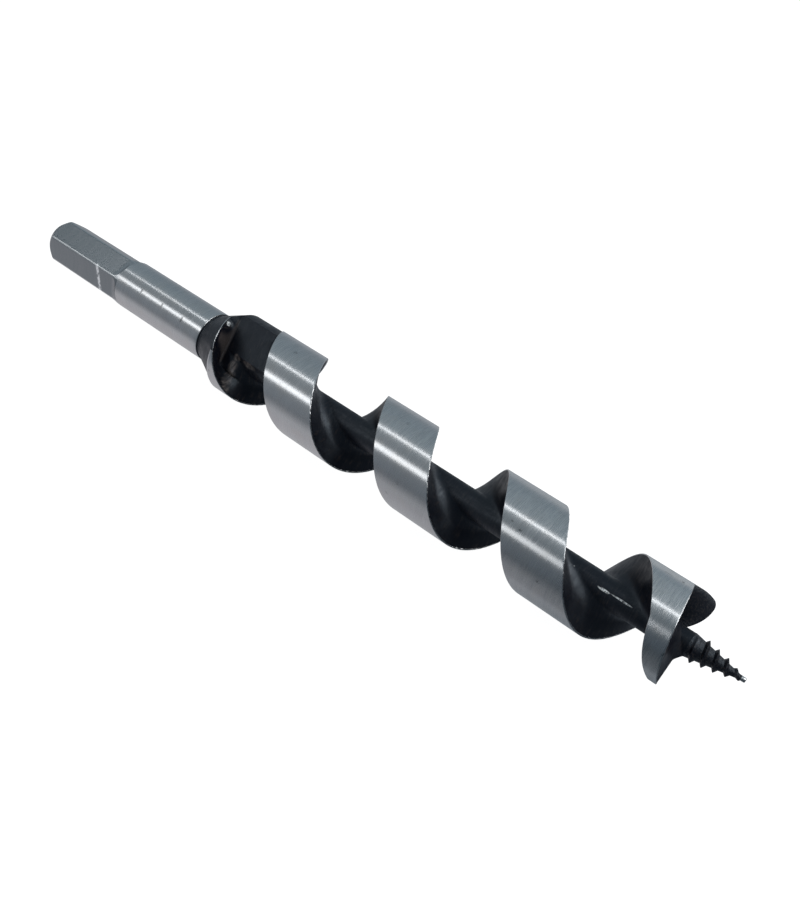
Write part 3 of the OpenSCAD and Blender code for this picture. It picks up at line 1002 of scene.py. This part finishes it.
# The room that the steel mirrors, by angle about the axis of the bit from +Y over +Z: a pale
# table below, a blue-grey room above, and a dark side that is darkest square to the bit.
ROOM = [
    (-180, 0.27, 0.29, 0.32), (-170, 0.44, 0.45, 0.48), (-156, 0.66, 0.66, 0.69),
    (-130, 0.66, 0.64, 0.67), (-60, 0.58, 0.58, 0.60), (-38, 0.45, 0.47, 0.50),
    (-20, 0.42, 0.45, 0.49), (-2, 0.27, 0.32, 0.36), (30, 0.26, 0.32, 0.365),
    (60, 0.29, 0.35, 0.39), (100, 0.33, 0.365, 0.39), (140, 0.34, 0.365, 0.39),
    (164, 0.31, 0.34, 0.375), (180, 0.27, 0.29, 0.32),
]
DARK_SIDE = [
    (-180, 0.03, 0.05, 0.065), (-160, 0.035, 0.055, 0.07), (-140, 0.11, 0.135, 0.155),
    (-125, 0.25, 0.28, 0.31), (-100, 0.22, 0.25, 0.28), (-50, 0.24, 0.27, 0.30),
    (-25, 0.50, 0.54, 0.57), (-8, 0.56, 0.60, 0.63), (6, 0.34, 0.40, 0.45),
    (18, 0.26, 0.33, 0.375), (60, 0.245, 0.315, 0.355), (95, 0.20, 0.25, 0.285),
    (120, 0.12, 0.155, 0.18), (155, 0.05, 0.075, 0.10), (180, 0.03, 0.05, 0.065),
]
TIP_SIDE_TONE = (0.085, 0.10, 0.115, 1)
SHANK_END_TONE = (0.24, 0.27, 0.30, 1)


def ramp(t, value, stops):
    made = t.add("ValToRGB", {0: value})
    made.color_ramp.interpolation = "EASE"
    points = made.color_ramp.elements
    while len(points) < len(stops):
        points.new(0.5)
    for point, (angle, r, g, b) in zip(points, stops):
        point.position = (angle + 180) / 360
        point.color = (r, g, b, 1)
    return made.outputs[0]


world = bpy.data.worlds.new("studio")
bpy.context.scene.world = world
world.use_nodes = True
t = Tree(world.node_tree)
way = t.add("SeparateXYZ", {0: t.add("TexCoord").outputs["Generated"]}).outputs
about = t.math("DIVIDE", t.math("ARCTAN2", way[2], way[1]), 2 * math.pi)
about = t.math("ADD", about, 0.5)
side = t.span(way[0], -0.45, -0.1)
room = t.mix(side, ramp(t, about, ROOM), ramp(t, about, DARK_SIDE))
room = t.mix(t.span(way[0], 0.15, 0.5), room, TIP_SIDE_TONE)
room = t.mix(t.span(way[0], -0.92, -0.99), room, SHANK_END_TONE)
seen = t.add("LightPath").outputs["Is Camera Ray"]
room = t.mix(seen, room, (1, 1, 1, 1))
background = world.node_tree.nodes["Background"]
world.node_tree.links.new(room, background.inputs["Color"])
background.inputs["Strength"].default_value = 1.0

LAMP_AWAY = 0.8
BIT_MIDDLE = Vector((0.13, 0, 0))


def lamp(name, size, size_y, radiance, centre, axes):
    """A flat soft lamp, given by its middle and its own three axes."""
    data = bpy.data.lights.new(name, "AREA")
    data.shape = "RECTANGLE"
    data.size, data.size_y = size, size_y
    data.energy = radiance * math.pi * size * size_y
    made = bpy.data.objects.new(name, data)
    bpy.context.scene.collection.objects.link(made)
    made.matrix_world = Matrix.Translation(centre) @ Matrix(axes).transposed().to_4x4()
    made.visible_camera = False


def card(name, angle, width, start, end, radiance):
    """A long soft lamp parallel to the bit, at an angle about its axis."""
    wide = 2 * LAMP_AWAY * math.tan(math.radians(width / 2))
    turn = math.radians(angle)
    out = Vector((0, math.cos(turn), math.sin(turn)))
    along = Vector((1, 0, 0))
    centre = out * LAMP_AWAY + along * (start + end) / 2
    lamp(name, end - start, wide, radiance, centre, (along, out.cross(along), out))


def bank(name, low, high, wide, radiance):
    """A long soft lamp between two places, that faces the middle of the bit."""
    low, high = Vector(low), Vector(high)
    out = (low + high).normalized()
    along = (high - low) - out * out.dot(high - low)
    length = along.length
    along.normalize()
    centre = (low + high) / 2 + BIT_MIDDLE
    lamp(name, wide, length, radiance, centre, (along.cross(out), along, out))


card("key_far", 125.2, 15, -1.0, -0.66, 2.0)
card("key", 129.0, 12.5, -0.66, -0.04, 2.45)
card("strip_far", 80.0, 4.5, -0.78, -0.66, 1.3)
card("strip", 84.3, 4.0, -0.66, 0.3, 3.4)
bank("window", (0.47, 0.78, 0.12), (0.46, -0.1, 0.84), 0.36, 4.2)

FOCAL_PX = 905.2
FRAME_PX = 900
SENSOR = 36
CAMERA_AT = Vector((0.198065, -0.0955889, 0.1497305))
CAMERA_RIGHT = Vector((0.76479931, 0.64426828, 0.00063346))
CAMERA_UP = Vector((-0.49177576, 0.58314242, 0.64660771))
CAMERA_BACK = Vector((0.41621944, -0.49483664, 0.76282244))

cam_data = bpy.data.cameras.new("camera")
cam = bpy.data.objects.new("camera", cam_data)
bpy.context.scene.collection.objects.link(cam)
cam_data.sensor_width = SENSOR
cam_data.sensor_fit = "AUTO"
cam_data.lens = FOCAL_PX / FRAME_PX * SENSOR
cam_data.clip_start, cam_data.clip_end = 0.01, 20
turn = Matrix((CAMERA_RIGHT, CAMERA_UP, CAMERA_BACK)).transposed().to_4x4()
cam.matrix_world = Matrix.Translation(CAMERA_AT) @ turn
bpy.context.scene.camera = cam

bpy.context.view_layer.update()
